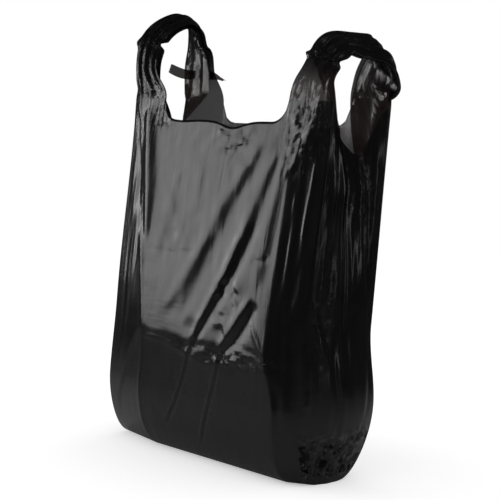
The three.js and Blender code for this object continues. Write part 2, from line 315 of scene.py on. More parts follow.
def heights(top):
    """Heights of the rows under a cut: the top rows stretch to meet it."""
    lift = smooth(MOUTH_HEIGHT - 60.0, MOUTH_HEIGHT, levels)
    return levels[:, None] + lift[:, None] * (top - MOUTH_HEIGHT)[None, :]


def body_net():
    """Position, share and height of every net point: front, right, back, left."""
    panels = [
        (front_shares, panel_top(front_shares, FRONT_DIPS), front_panel, ()),
        (gusset_shares, gusset_top(gusset_shares, 1), gusset, (1,)),
        (back_shares, panel_top(back_shares, BACK_DIPS), back_panel, ()),
        (1 - gusset_shares, gusset_top(1 - gusset_shares, -1), gusset, (-1,)),
    ]
    places, shares, zs = [], [], []
    for panel_shares, top, surface, side in panels:
        z = heights(top)
        share = np.broadcast_to(panel_shares, z.shape)
        places.append(surface(share, z, *side))
        shares.append(share)
        zs.append(z)
    return [np.concatenate(parts, axis=1) for parts in (places, shares, zs)]


net, net_share, net_z = body_net()
print("body net:", net.shape[0], "rows of", net.shape[1], "points")

# %% [markdown]
# Folds are what make film look like film. Each one is given as a path over a panel,
# with how far it reaches to each side. There are three profiles. A turned band tilts
# the film one way along its middle and lets it come back gently on both sides. A
# ridge is a sharp line that falls off on both sides. Below a turned edge the film
# falls back and returns. All are added along the film's own normal, so they ride on
# the curved shape.

# %% Fold profiles


def path_distance(path, u, z):
    """Signed distance in mm to a path of (u, z, reach) knots, with the share along it.

    Each straight piece gives a distance and the nearest piece wins. The sign is
    positive on the side of growing u where the path runs down.
    """
    knots = np.array(path, float)
    lengths = np.hypot(*(knots[1:, :2] - knots[:-1, :2]).T)
    starts = np.concatenate([[0.0], np.cumsum(lengths)])
    best = np.full(u.shape, 1e9)
    signed = np.zeros(u.shape)
    share = np.zeros(u.shape)
    reach = np.ones(u.shape)
    for a, b, length, start in zip(knots[:-1], knots[1:], lengths, starts):
        step_u, step_z = (b[0] - a[0]) / length, (b[1] - a[1]) / length
        on = np.clip(((u - a[0]) * step_u + (z - a[1]) * step_z) / length, 0.0, 1.0)
        du = u - a[0] - on * length * step_u
        dz = z - a[1] - on * length * step_z
        away = np.hypot(du, dz)
        side = np.sign(-(u - a[0]) * step_z + (z - a[1]) * step_u)
        near = away < best
        best = np.where(near, away, best)
        signed = np.where(near, away * side, signed)
        share = np.where(near, (start + on * length) / starts[-1], share)
        reach = np.where(near, a[2] + on * (b[2] - a[2]), reach)
    return signed, share, reach


def fade_ends(share, fade):
    """1 along a path, falling to 0 over a share of it at its start and at its end."""
    return smooth(0.0, fade[0], share) * (1.0 - smooth(1.0 - fade[1], 1.0, share))


def turned_band(path, tilt, u, z, fade=(0.12, 0.15)):
    """Height -tilt * d * exp(-(d / reach)^2 / 2): slope -tilt along the middle line."""
    d, share, reach = path_distance(path, u, z)
    return -tilt * d * np.exp(-0.5 * (d / reach) ** 2) * fade_ends(share, fade)


def ridge(path, rise, u, z, fade=(0.12, 0.15)):
    """Height rise * exp(-|d| / reach): a sharp line that falls off on both sides."""
    d, share, reach = path_distance(path, u, z)
    return rise * np.exp(-np.abs(d) / reach) * fade_ends(share, fade)


def turned_below(path, tilt, length, u, z):
    """Below a path the film falls back at a slope and returns over a length."""
    d, share, _ = path_distance(path, u, z)
    below = np.clip(-d, 0.0, None)
    return -tilt * below * np.exp(-((below / length) ** 2)) * fade_ends(share, (0.04, 0.04))


def crumple(u, z, seed, count, box, tilt, size=(7.0, 16.0), level=0.0, turn=0.0, widest=9.0):
    """Short turned bands scattered in a box, in mm, none of them reaching past widest.

    level is how alike their directions are: 1 makes all of them run along turn, an
    angle up from straight across.
    """
    low_u, high_u, low_z, high_z = box
    draw = np.random.default_rng(seed)
    rise = np.zeros(u.shape)
    for _ in range(count):
        middle_u, middle_z = draw.uniform((low_u, low_z), (high_u, high_z))
        half = draw.uniform(*size) / 2
        angle = turn + draw.uniform(-0.5, 0.5) * np.pi * (1.0 - level)
        reach = min(draw.uniform(0.18, 0.32) * half + 0.8, widest)
        du, dz = half * np.cos(angle), half * np.sin(angle)
        path = [(middle_u - du, middle_z - dz, reach), (middle_u + du, middle_z + dz, reach)]
        rise += turned_band(path, tilt * draw.choice([-1.0, 1.0]), u, z, fade=(0.3, 0.3))
    return rise


# %% [markdown]
# On the front panel the folds fan out, down and to the left, from the corner where
# the right strand pulls. Two of them run on as long dark creases down to the base.
# The softly lit face ends low down in a wavy line, where the film turns under. Small
# crumples lie in fields, each with its seed, count, box across and up in mm, tilt and
# the rest of what crumple() takes.

# %% Folds of the front panel
UPRIGHT = np.pi / 2
FAN_BANDS = [
    ([(0.74, 336, 4), (0.66, 293, 8), (0.578, 258, 10), (0.516, 212, 10), (0.46, 180, 9),
      (0.40, 140, 7)], 0.14),
    ([(0.81, 322, 3), (0.775, 298, 6), (0.735, 262, 8), (0.70, 235, 8)], 0.13),
    ([(0.74, 256, 4), (0.70, 232, 7), (0.665, 208, 7), (0.63, 188, 6), (0.60, 172, 6),
      (0.54, 140, 4), (0.50, 116, 3)], 0.34),
    ([(0.836, 325, 3), (0.832, 289, 5), (0.82, 250, 7), (0.81, 210, 7), (0.80, 180, 5)], 0.11),
    ([(0.79, 178, 4), (0.762, 160, 7), (0.722, 142, 7), (0.678, 127, 5), (0.655, 112, 3)], 0.38),
    ([(0.546, 240, 5), (0.46, 196, 8), (0.338, 144, 6)], 0.10),
    ([(0.33, 300, 5), (0.30, 250, 8), (0.26, 200, 6)], 0.07),
    ([(0.072, 366, 8), (0.10, 318, 9), (0.135, 268, 8), (0.178, 214, 3)], -0.5),
]
LOW_CREASES = [
    ([(0.50, 118, 2), (0.47, 84, 1.6), (0.438, 58, 1.6), (0.40, 40, 1.5), (0.334, 21, 1.2)], 0.75),
    ([(0.66, 118, 2), (0.632, 86, 1.6), (0.608, 59, 1.6), (0.574, 28, 1.5), (0.522, 10, 1.2)], 0.75),
]
LIT_EDGE = [
    (0.20, 138), (0.23, 134), (0.288, 128), (0.36, 131), (0.43, 127), (0.47, 116),
    (0.56, 109), (0.66, 106), (0.76, 107), (0.88, 108), (0.93, 112),
]
LIT_EDGE_TILT = 0.10
LIT_EDGE_LENGTH = 60.0
LOW_RIDGES = [
    ([(0.23, 122, 1.6), (0.36, 120, 1.6), (0.48, 112, 1.2), (0.558, 108, 1)], 0.9),
    ([(0.50, 127, 2.0), (0.57, 124, 1.4), (0.60, 120, 1)], -0.4),
    ([(0.686, 128, 1.4), (0.754, 129, 2.0), (0.87, 123, 1.4)], -0.6),
    ([(0.782, 158, 1.2), (0.82, 142, 1.6), (0.872, 123, 1)], 1.2),
    ([(0.938, 46, 0.8), (0.96, 30, 1.0), (0.984, 12, 0.8)], 1.4),
    ([(0.992, 34, 0.8), (1.0, 14, 0.8)], 1.4),
    ([(0.18, 213, 1.5), (0.33, 211, 1.8), (0.49, 215, 1.2)], -0.6),
    ([(0.748, 215, 1.4), (0.79, 214, 1.6), (0.832, 218, 1)], -0.9),
    ([(0.845, 302, 1.2), (0.87, 299, 1.4), (0.90, 303, 1)], -1.6),
    ([(0.49, 340, 0.8), (0.53, 334, 1.4), (0.56, 331, 0.8)], 1.2),
    ([(0.52, 317, 0.8), (0.59, 322, 1.4), (0.66, 328, 0.8)], -1.2),
    ([(0.55, 331, 0.8), (0.61, 330, 1.4), (0.65, 326, 0.8)], 1.1),
    ([(0.50, 325, 0.8), (0.56, 324, 1.2), (0.60, 321, 0.8)], 0.8),
    ([(0.60, 341, 0.8), (0.64, 334, 1.2), (0.68, 333, 0.8)], -0.9),
    ([(0.962, 320, 0.8), (0.957, 290, 1.2), (0.952, 262, 1.0), (0.95, 236, 0.8)], 1.7),
    ([(0.93, 180, 0.8), (0.945, 120, 1.4), (0.96, 50, 1.0)], 1.4),
    ([(0.90, 290, 0.8), (0.91, 230, 1.2), (0.905, 170, 0.8)], 1.1),
]
LEFT_CREASE_RISE = 0.7
LEFT_CREASE_REACH = 1.6
FRONT_CRUMPLES = [
    (5, 20, (145, 205, 306, 346), 0.10, dict(size=(12, 24), level=0.8, turn=0.3, widest=2.5)),
    (17, 16, (264, 298, 40, 330), 0.22, dict(size=(40, 120), level=0.97, turn=UPRIGHT, widest=2.5)),
    (19, 10, (4, 44, 120, 350), 0.16, dict(size=(50, 140), level=0.97, turn=UPRIGHT, widest=3.0)),
    (11, 30, (155, 258, 106, 124), 0.16, dict(size=(8, 22), level=0.9)),
    (7, 16, (182, 222, 138, 190), 0.22, dict(size=(8, 20))),
    (9, 40, (250, 292, 302, 366), 0.20, dict(size=(6, 14))),
    (15, 34, (50, 230, 140, 335), 0.055, dict(size=(16, 50))),
]
PANEL_FOOT = 20.0
GUSSET_FOOT = 14.0


def in_mm(path, width=BAG_WIDTH):
    """A path of (share, z, reach) knots with the share turned into mm."""
    return [(width * share, z, reach) for share, z, reach in path]


def front_folds(share, z):
    """Sum of all folds of the front panel, in mm outward."""
    u = BAG_WIDTH * share
    rise = np.zeros(u.shape)
    for path, tilt in FAN_BANDS:
        rise += turned_band(in_mm(path), tilt, u, z)
    for path, tilt in LOW_CREASES:
        rise += turned_band(in_mm(path), tilt, u, z, fade=(0.05, 0.3))
    for path, lift in LOW_RIDGES:
        rise += ridge(in_mm(path), lift, u, z)
    edge = in_mm([(place, height, 1) for place, height in LIT_EDGE])
    rise += turned_below(edge, LIT_EDGE_TILT, LIT_EDGE_LENGTH, u, z)
    left = crease_share(LEFT_CREASE, z) * BAG_WIDTH
    rise += LEFT_CREASE_RISE * np.exp(-np.abs(u - left) / LEFT_CREASE_REACH)
    for seed, count, box, tilt, more in FRONT_CRUMPLES:
        rise += crumple(u, z, seed, count, box, tilt, **more)
    return rise * smooth(0.0, PANEL_FOOT, z)


print("front panel:", len(FAN_BANDS) + len(LOW_CREASES) + len(LOW_RIDGES), "folds")

# %% [markdown]
# A gusset is creased down its middle from being folded flat, with softer upright
# folds beside that crease. Low down, where the gusset is tucked under, the film is
# crushed into small facets that sparkle. The back hangs in two long soft folds, with
# a few lesser ones between and beside them.

# %% Folds of the gussets and of the back
GUSSET_BANDS = [
    ([(0.16, 356, 5), (0.20, 300, 7), (0.17, 230, 7), (0.16, 160, 6)], 0.22),
    ([(0.33, 352, 4), (0.36, 290, 6), (0.32, 220, 7), (0.28, 150, 5)], -0.24),
    ([(0.64, 352, 5), (0.68, 300, 7), (0.74, 240, 7), (0.82, 180, 5)], 0.26),
    ([(0.84, 345, 5), (0.84, 290, 7), (0.86, 230, 5)], -0.2),
    ([(0.05, 190, 3), (0.2, 150, 6), (0.32, 118, 4)], 0.3),
    ([(0.96, 150, 3), (0.86, 110, 6), (0.8, 60, 4)], 0.22),
]
GUSSET_RIDGES = [
    ([(0.5, 350, 1.2), (0.52, 250, 1.5), (0.53, 150, 1.5)], 1.4),
    ([(0.07, 96, 1.2), (0.06, 84, 1.6), (0.03, 66, 1.2)], 1.6),
    ([(0.62, 300, 0.9), (0.58, 290, 0.9)], 1.2),
    ([(0.06, 320, 0.9), (0.09, 280, 1.0), (0.08, 250, 0.9)], 0.9),
]
GUSSET_CRUMPLES = [
    (46, (6, 120, 8, 52), 0.5, dict(size=(7, 18))),
    (16, (10, 140, 240, 345), 0.2, dict(size=(8, 20))),
    (30, (8, 142, 60, 330), 0.24, dict(size=(50, 140), level=0.97, turn=UPRIGHT, widest=3.5)),
]
RIGHT_SEED = 31
LEFT_SEED = 41
BACK_SEED = 21


def gusset_folds(share, z, first_seed):
    """Sum of the folds of a gusset, in mm outward. Each crumpled field has the next seed."""
    width = 2 * GUSSET_HALF
    u = width * share
    rise = np.zeros(u.shape)
    for path, tilt in GUSSET_BANDS:
        rise += turned_band(in_mm(path, width), tilt, u, z)
    for path, lift in GUSSET_RIDGES:
        rise += ridge(in_mm(path, width), lift, u, z)
    for seed, (count, box, tilt, more) in enumerate(GUSSET_CRUMPLES, first_seed):
        rise += crumple(u, z, seed, count, box, tilt, **more)
    near_edge = smooth(0.0, 0.03, share) * smooth(0.0, 0.03, 1 - share)
    return rise * smooth(0.0, GUSSET_FOOT, z) * near_edge


BACK_BANDS = [
    ([(0.2, 352, 6), (0.3, 260, 12), (0.38, 150, 12), (0.42, 60, 8)], -0.24),
    ([(0.8, 352, 6), (0.72, 260, 12), (0.62, 160, 12), (0.56, 70, 8)], 0.24),
    ([(0.5, 345, 6), (0.52, 240, 10), (0.5, 150, 8)], 0.14),
    ([(0.12, 340, 4), (0.1, 250, 8), (0.14, 140, 7)], 0.2),
    ([(0.9, 340, 4), (0.9, 250, 8), (0.86, 130, 7)], -0.2),
    ([(0.25, 190, 4), (0.34, 120, 6), (0.36, 40, 4)], 0.2),
]


def back_folds(share, z):
    """Sum of the folds of the back panel, in mm outward."""
    u = BAG_WIDTH * share
    rise = np.zeros(u.shape)
    for path, tilt in BACK_BANDS:
        rise += turned_band(in_mm(path), tilt, u, z)
    rise += crumple(u, z, BACK_SEED, 30, (60, 240, 280, 345), 0.2, size=(10, 30))
    return rise * smooth(0.0, PANEL_FOOT, z)


def net_folds():
    """The folds of all four panels, side by side as the net's columns are."""
    starts = [RIGHT_START, BACK_START, LEFT_START]
    shares = np.split(net_share, starts, axis=1)
    zs = np.split(net_z, starts, axis=1)
    parts = [
        front_folds(shares[0], zs[0]),
        gusset_folds(shares[1], zs[1], RIGHT_SEED),
        back_folds(shares[2], zs[2]),
        gusset_folds(shares[3], zs[3], LEFT_SEED),
    ]
    return np.concatenate(parts, axis=1)


def net_normals(places):
    """Outward normals of a net that is closed round its columns: across x up."""
    across = np.roll(places, -1, axis=1) - np.roll(places, 1, axis=1)
    up = np.gradient(places, axis=0)
    normal = np.cross(across, up)
    return normal / np.maximum(np.linalg.norm(normal, axis=-1, keepdims=True), 1e-9)


body = net + net_normals(net) * net_folds()[..., None]
body[0, :, 2] = 0.0
print("body box in mm:", body.min(axis=(0, 1)).round(1), body.max(axis=(0, 1)).round(1))

# %% [markdown]
# Each handle is the film of two strands, joined at a weld. It starts as wide as it
# was cut, part panel and part gusset, and is soon gathered: folded double along its
# outer edge and drawn into pleats. A curve carries it from the front strand over the
# arch to the rear strand. At the weld the film is pinched and a corner sticks out.
#
# For each handle, front, arch and back are widths in mm, and gap and arch_gap lie
# between its two layers. twist and back_yaw turn it, in radians. weld is a share of
# the way, pinch a share of the width and ear the corner's length in mm. The gathers
# are shares of the way, shortened or drawn out for the gusset's part by the tucks.

# %% Handles
STATIONS = 100
FINE_STATIONS = 600
ARCH_SPAN = (0.18, 0.5)
YAW_SPAN = (0.5, 0.72)
WIDTH_SPAN = (0.24, 0.48)
LAYER_SPAN = (0.36, 0.64)
PLEATS = [(1.5, 2.7, 5.0, 0.0), (1.0, 6.2, 11.0, 1.5)]
WELD_REACH = 0.018
WELD_PRESS = 0.6
WELD_PUSH = 1.6
HANDLES = {
    "left": {
        "spine": [
            (-111, -38, 365), (-112, -42, 390), (-113, -41, 415), (-113, -33, 438),
            (-111, -14, 454), (-110, 5, 459), (-112, 19, 453), (-117, 28, 437),
            (-116, 31, 411), (-115, 31, 386), (-112, 30, 365),
        ],
        "front": 37, "arch": 28, "back": 64, "gap": 5, "arch_gap": 6, "twist": 0.5, "back_yaw": 0.24,
        "weld": 0.29, "pinch": 0.3, "ear": 9, "ear_side": -1,
        "front_gather": 0.17, "back_gather": 0.2, "front_tuck": 0.5, "back_tuck": 0.3,
    },
    "right": {
        "spine": [
            (139, -38, 365), (142, -41, 380), (146, -37, 397), (150, -31, 413),
            (151, -18, 425), (155, 3, 425), (162, 27, 422), (155, 39, 410),
            (141, 41, 392), (139, 39, 377), (139, 37, 365),
        ],
        "front": 48, "arch": 38, "back": 80, "gap": 5, "arch_gap": 10, "twist": 0.62, "back_yaw": 0.3,
        "weld": 0.26, "pinch": 0.22, "ear": 10, "ear_side": 1,
        "front_gather": 0.27, "back_gather": 0.22, "front_tuck": 1.2, "back_tuck": 0.5,
    },
}


def curve_through(points, count):
    """Even stations on a smooth curve through points, with tangents and length.

    The points are first joined by a cubic over their chord length, then resampled
    so that the stations are equally far apart.
    """
    knots = np.array(points, float)
    chord = np.concatenate([[0.0], np.cumsum(np.linalg.norm(np.diff(knots, axis=0), axis=1))])
    fine = np.linspace(0.0, chord[-1], FINE_STATIONS)
    slope = np.gradient(knots, chord, axis=0)
    i = np.clip(np.searchsorted(chord, fine, side="right") - 1, 0, len(chord) - 2)
    width = (chord[i + 1] - chord[i])[:, None]
    t = (fine - chord[i])[:, None] / width
    dense = (
        (2 * t**3 - 3 * t**2 + 1) * knots[i]
        + (t**3 - 2 * t**2 + t) * width * slope[i]
        + (3 * t**2 - 2 * t**3) * knots[i + 1]
        + (t**3 - t**2) * width * slope[i + 1]
    )
    run = np.concatenate([[0.0], np.cumsum(np.linalg.norm(np.diff(dense, axis=0), axis=1))])
    even = np.linspace(0.0, run[-1], count)
    line = np.stack([np.interp(even, run, dense[:, k]) for k in range(3)], axis=1)
    tangent = np.gradient(line, axis=0)
    return line, tangent / np.linalg.norm(tangent, axis=1, keepdims=True), run[-1]


def handle_net(side, shape, front_foot, back_foot, front_slope, back_slope):
    """The film of one handle, as stations along it by points across it.

    Every point is a blend of two places: on the straight line on which the body's
    film runs on above its foot, and in the gathered strand that follows the spine.
    The gusset's share of the strand is tucked in sooner or later than the panel's.
    The pleats are cosines over the width, (height, waves, drift, shift), which drift
    along the strand.
    """
    line, tangent, length = curve_through(shape["spine"], STATIONS)
    t = np.linspace(0.0, 1.0, STATIONS)[:, None]
    panel_q = np.linspace(0.0, 0.5, STRAND_COLUMNS, endpoint=False)
    q = np.concatenate([panel_q, np.linspace(0.5, 1.0, GUSSET_STRAND_COLUMNS + 1)])[None, :]
    is_front = t < 0.5
    from_foot = np.minimum(t, 1 - t)
    foot = np.where(is_front[..., None], front_foot[None], back_foot[None])
    slope = np.where(is_front[..., None], front_slope[None], back_slope[None])
    foot = foot + slope * (from_foot * length)[..., None]
    inward = np.array([-side, 0.0, 0.0]) - tangent * (-side * tangent[:, :1])
    inward /= np.linalg.norm(inward, axis=1, keepdims=True)
    out = np.cross([1.0, 0.0, 0.0], tangent)
    out /= np.linalg.norm(out, axis=1, keepdims=True)
    arch = smooth(*ARCH_SPAN, from_foot)
    twist = side * (shape["twist"] * arch + shape["back_yaw"] * smooth(*YAW_SPAN, t))
    across_axis = inward * np.cos(twist) + out * np.sin(twist)
    out_axis = out * np.cos(twist) - inward * np.sin(twist)
    foot_width = np.where(is_front, shape["front"], shape["back"])
    width = blend(foot_width, shape["arch"], smooth(*WIDTH_SPAN, from_foot))
    gap = blend(shape["gap"], shape["arch_gap"], arch)
    weld = np.exp(-(((t - shape["weld"]) / WELD_REACH) ** 2))
    width = width * (1.0 - shape["pinch"] * weld)
    toward = np.where(q <= 0.5, 1 - 4 * q, 4 * q - 3)
    at_ear = np.clip(toward * shape["ear_side"], 0.0, 1.0) ** 4
    reach = 1.0 + 2.0 * shape["ear"] / width * weld * at_ear
    layer = smooth(*LAYER_SPAN, q)
    pleats = sum(
        height * np.cos(toward * np.pi * waves + drift * t + shift * side)
        for height, waves, drift, shift in PLEATS
    )
    press = 1.0 - WELD_PRESS * weld
    push = pleats * press + WELD_PUSH * weld - gap * (layer - 0.5) * press
    gathered = (
        line[:, None]
        + across_axis[:, None] * (toward * reach * width / 2)[..., None]
        + out_axis[:, None] * push[..., None]
    )
    slow = np.where(is_front, shape["front_gather"], shape["back_gather"])
    tuck = np.where(is_front, shape["front_tuck"], shape["back_tuck"])
    gather = smooth(0.0, slow * blend(1.0, tuck, layer), from_foot)[..., None]
    return blend(foot, gathered, gather), length


def foot_columns(side, front):
    """Net columns of one strand's foot, from the mouth side over the edge fold to the gusset."""
    from_fold = np.arange(-STRAND_COLUMNS, GUSSET_STRAND_COLUMNS + 1)
    if front:
        columns = RIGHT_START + from_fold if side > 0 else -from_fold
    else:
        columns = BACK_START - from_fold if side > 0 else LEFT_START + from_fold
    return columns % COLUMNS


# %% [markdown]
# Now the nets are joined. Each handle's first and last row are points of the body's
# top row, so body and handles are one film with no seam between them. The base is
# closed by rings that shrink to one middle point. A map in metres of film, across
# and up, is kept for the fine wrinkles of the finish. So are three masks: thin and
# backlit, where one layer hangs before the light, which lowers the Alpha and paints
# in a brown glow of light shining through; crush, where facets go; and strand, where
# the film is pulled. Each crushed spot has its panel, share, height, reach across and
# up, and amount.

# %% One mesh for the whole film
BASE_RINGS = (0.86, 0.62, 0.32)
MAP_ROW = 60
LOW_SIDE = (4.0, 12.0, 34.0, 58.0)
# The thin spans below also set where a brown glow of light shining through the film is painted in.
BACK_THIN_AND_BACKLIT = (290.0, 340.0)
REAR_STRAND_THIN_AND_BACKLIT = (0.05, 0.3)
FRONT_STRAND_THIN_AND_BACKLIT = (0.1, 0.26)
FRONT_STRAND_MOST = 0.8
STRAND_HEIGHTS = (320.0, 372.0)
STRAND_CRUSH = 0.12
CRUSHED_SPOTS = [
    (0, 0.91, 340, 0.09, 34, 0.14), (0, 0.69, 116, 0.22, 8, 0.1), (0, 0.5, 52, 0.45, 44, 0.03),
    (0, 0.20, 352, 0.07, 14, 0.2), (1, 0.20, 180, 0.14, 60, 0.08), (1, 0.70, 290, 0.16, 50, 0.08),
]
SLOPE_ROWS = 4
WALL = 0.00035


def ring_quads(lower, upper):
    """Quads between two closed rows of point numbers."""
    return np.stack([lower, np.roll(lower, -1), np.roll(upper, -1), upper], axis=-1)


def strip_quads(lower, upper):
    """Quads between two open rows of point numbers."""
    return np.stack([lower[:-1], lower[1:], upper[1:], upper[:-1]], axis=-1)


def crushed(share, z, panel):
    """Where the film is crushed into small facets, 0 to 1: low sides, pulled corners."""
    low_side = smooth(*LOW_SIDE[:2], z) * (1.0 - smooth(*LOW_SIDE[2:], z))
    spots = low_side * (panel % 2 == 1)
    for on_panel, place, height, wide, high, amount in CRUSHED_SPOTS:
        away = ((share - place) / wide) ** 2 + ((z - height) / high) ** 2
        spots = np.maximum(spots, amount * np.exp(-(away**2)) * (panel == on_panel))
    return spots


def film_piece(name, places, faces, places_on_film, masks, offset):
    """A smooth object from points in mm, with its film map, its masks and its wall."""
    mesh = bpy.data.meshes.new(name)
    mesh.from_pydata((places * MM).tolist(), [], faces)
    mesh.validate()
    map_layer = mesh.uv_layers.new(name="film_map")
    corner_points = np.zeros(len(mesh.loops), dtype=np.int32)
    mesh.loops.foreach_get("vertex_index", corner_points)
    map_layer.data.foreach_set("uv", (places_on_film * MM)[corner_points].ravel())
    for mask_name, mask in masks.items():
        layer = mesh.attributes.new(mask_name, "FLOAT", "POINT")
        layer.data.foreach_set("value", mask.astype(np.float32))
    mesh.polygons.foreach_set("use_smooth", np.ones(len(mesh.polygons), dtype=bool))
    piece = bpy.data.objects.new(name, mesh)
    bpy.context.collection.objects.link(piece)
    wall = piece.modifiers.new("wall", "SOLIDIFY")
    wall.thickness = WALL
    wall.offset = offset
    wall.use_even_offset = False
    return piece


points = [body.reshape(-1, 3)]
numbers = np.arange(ROWS * COLUMNS).reshape(ROWS, COLUMNS)
quads = [ring_quads(numbers[r], numbers[r + 1]) for r in range(ROWS - 1)]
map_steps = np.linalg.norm(np.diff(net[MAP_ROW], axis=0), axis=1)
across_run = np.concatenate([[0.0], np.cumsum(map_steps)])
film_map = [np.stack([np.broadcast_to(across_run, net_z.shape), net_z], axis=-1).reshape(-1, 2)]
panel_of = np.repeat([0, 1, 2, 3], np.diff([0, RIGHT_START, BACK_START, LEFT_START, COLUMNS]))
# Thin mask: a lower Alpha, and a painted brown glow of light shining through one layer.
thin_and_backlit = [(smooth(*BACK_THIN_AND_BACKLIT, net_z) * (panel_of == 2)).ravel()]
crush = [crushed(net_share, net_z, panel_of).ravel()]
on_strand = np.minimum(net_share, 1 - net_share) < STRAND_SHARE
strand = [(smooth(*STRAND_HEIGHTS, net_z) * on_strand).ravel()]
next_number = ROWS * COLUMNS

for name, side in (("left", -1), ("right", 1)):
    front_columns, back_columns = foot_columns(side, True), foot_columns(side, False)
    front_numbers, back_numbers = numbers[-1, front_columns], numbers[-1, back_columns]
    flat_body = points[0]
    slopes = [
        flat_body[n] - flat_body[n - SLOPE_ROWS * COLUMNS] for n in (front_numbers, back_numbers)
    ]
    slopes = [run / run[:, 2:3] for run in slopes]
    film, length = handle_net(
        side, HANDLES[name], flat_body[front_numbers], flat_body[back_numbers], *slopes
    )
    inner = film[1:-1]
    count = inner.shape[0] * inner.shape[1]
    inner_numbers = next_number + np.arange(count).reshape(inner.shape[:2])
    next_number += count
    points.append(inner.reshape(-1, 3))
    rows = np.concatenate([front_numbers[None], inner_numbers, back_numbers[None]])
    for lower, upper in zip(rows[:-1], rows[1:]):
        strip = strip_quads(lower, upper)
        quads.append(strip if side > 0 else strip[:, ::-1])
    run_up = np.linspace(0.0, length, STATIONS)[1:-1, None]
    before_weld = run_up < HANDLES[name]["weld"] * length
    across_film = np.where(before_weld, across_run[front_columns], across_run[back_columns])
    front_up = net_z[-1, front_columns] + run_up
    back_up = net_z[-1, back_columns] + length - run_up
    along_film = np.where(before_weld, front_up, back_up)
    film_map.append(np.stack([across_film, along_film], axis=-1).reshape(-1, 2))
    # Near the rear foot of each handle, and the front foot of the right one, the thin mask paints a
    # brown backlight glow.
    near_back = 1.0 - smooth(*REAR_STRAND_THIN_AND_BACKLIT, 1.0 - run_up / length)
    near_front = 1.0 - smooth(*FRONT_STRAND_THIN_AND_BACKLIT, run_up / length)
    near_front = FRONT_STRAND_MOST * (side > 0) * near_front
    thin_and_backlit.append(np.broadcast_to(np.maximum(near_back, near_front), inner.shape[:2]).ravel())
    crush.append(np.full(count, STRAND_CRUSH))
    strand.append(np.ones(count))
    print(name, "handle:", round(float(length)), "mm of film along its curve")

middle = np.zeros(3)
ring = numbers[0]
for scale in BASE_RINGS:
    shrunk = blend(middle, body[0], scale)
    ring_numbers = next_number + np.arange(COLUMNS)
    next_number += COLUMNS
    points.append(shrunk)
    film_map.append(shrunk[:, :2])
    for mask in (thin_and_backlit, crush, strand):
        mask.append(np.zeros(COLUMNS))
    quads.append(ring_quads(ring_numbers, ring))
    ring = ring_numbers
points.append(middle[None])
film_map.append(np.zeros((1, 2)))
for mask in (thin_and_backlit, crush, strand):
    mask.append(np.zeros(1))
base_fan = np.stack([np.roll(ring, -1), ring, np.full(COLUMNS, next_number)], axis=-1)

faces = np.concatenate(quads).tolist() + base_fan.tolist()
masks = {"thin_and_backlit": thin_and_backlit, "crush": crush, "strand": strand}
masks = {mask_name: np.concatenate(parts) for mask_name, parts in masks.items()}
bag_film = film_piece(
    "bag_film", np.concatenate(points), faces, np.concatenate(film_map), masks, -1.0
)
print("film:", len(bag_film.data.vertices), "points,", len(faces), "faces before its wall")

# %% [markdown]
# A torn strip of film, as long as a finger, hangs through the left loop. It is blunt
# at the end nearer to the camera and runs out to a point at the other.

# %% Torn strip
STRIP_MIDDLE = (-117.0, 31.0, 402.0)
STRIP_RUN = (0.67, 0.74, 0.0)
STRIP_LENGTH = 64.0
STRIP_WIDTH = 10.5
STRIP_UP = (0.1, -0.25, 0.96)
STRIP_DROOP = (0.0, -0.3, -1.0)
STRIP_THIN_AND_BACKLIT = 0.85
STRIP_POINTS = (33, 7)


def strip_surface():
    """Points along by across: a level ribbon that droops at its ends and tapers at one."""
    t = np.linspace(-1.0, 1.0, STRIP_POINTS[0])[:, None]
    q = np.linspace(-0.5, 0.5, STRIP_POINTS[1])[None, :]
    width = STRIP_WIDTH * (1.0 - 0.97 * smooth(0.35, 1.0, t)) * smooth(-1.35, -0.9, t)
    run = np.array(STRIP_RUN)[None, None] * ((t + 0.12 * q) * STRIP_LENGTH / 2)[..., None]
    up = np.array(STRIP_UP)[None, None] * (q * width)[..., None]
    fall = 5.0 * t**3 + 0.8 * np.sin(5 * t + 6 * q)
    droop = np.array(STRIP_DROOP)[None, None] * fall[..., None]
    return np.array(STRIP_MIDDLE) + run + up + droop


strip = strip_surface()
strip_numbers = np.arange(strip.shape[0] * strip.shape[1]).reshape(strip.shape[:2])
strip_rows = [strip_quads(a, b) for a, b in zip(strip_numbers[:-1], strip_numbers[1:])]
strip_faces = np.concatenate(strip_rows).tolist()
strip_points = strip.reshape(-1, 3)
# Most of the torn strip gets the painted brown backlight glow through its thin mask.
strip_masks = {"thin_and_backlit": np.full(strip_numbers.size, STRIP_THIN_AND_BACKLIT)}
torn_strip = film_piece(
    "torn_strip", strip_points, strip_faces, strip_points[:, [1, 2]], strip_masks, 0.0
)
print("torn strip:", len(strip_faces), "faces")

# %% [markdown]
# Black film is carbon black in plastic. It has next to no colour of its own, a
# strong clear reflection, and fine wrinkles: most run up and down, a fainter set runs
# level. They are noise stretched along the film map, used as a bump, and crushed
# places have flat facets over it. The Alpha is just under one on each face of the
# wall. Where the thin mask says that one layer hangs before the light, it is lower,
# and a brown colour is painted in as the glow of light shining through the film.

# %% Finish of the film
FILM_BLACK = (0.0032, 0.003, 0.0032, 1.0)
# A painted brown glow of light shining through one layer of film, not the film's own colour.
PAINTED_BACKLIGHT_BROWN = (0.016, 0.0075, 0.007, 1.0)
FILM_ALPHA = 0.965
THIN_ALPHA = 0.8
FILM_IOR = 1.5
ROUGHNESS = (0.16, 0.27)
UPRIGHT_WRINKLES = (90.0, 14.0)
LEVEL_WRINKLES = (30.0, 220.0)
GLOSS_PATCHES = (22.0, 12.0)
UPRIGHT_HEIGHT = 0.0004
LEVEL_HEIGHT = 0.00009
STRAND_GAIN = 2.5
FACETS_PER_METRE = 230.0
FACET_GAIN = 1.6
VECTOR_MATH = "ShaderNodeVectorMath"


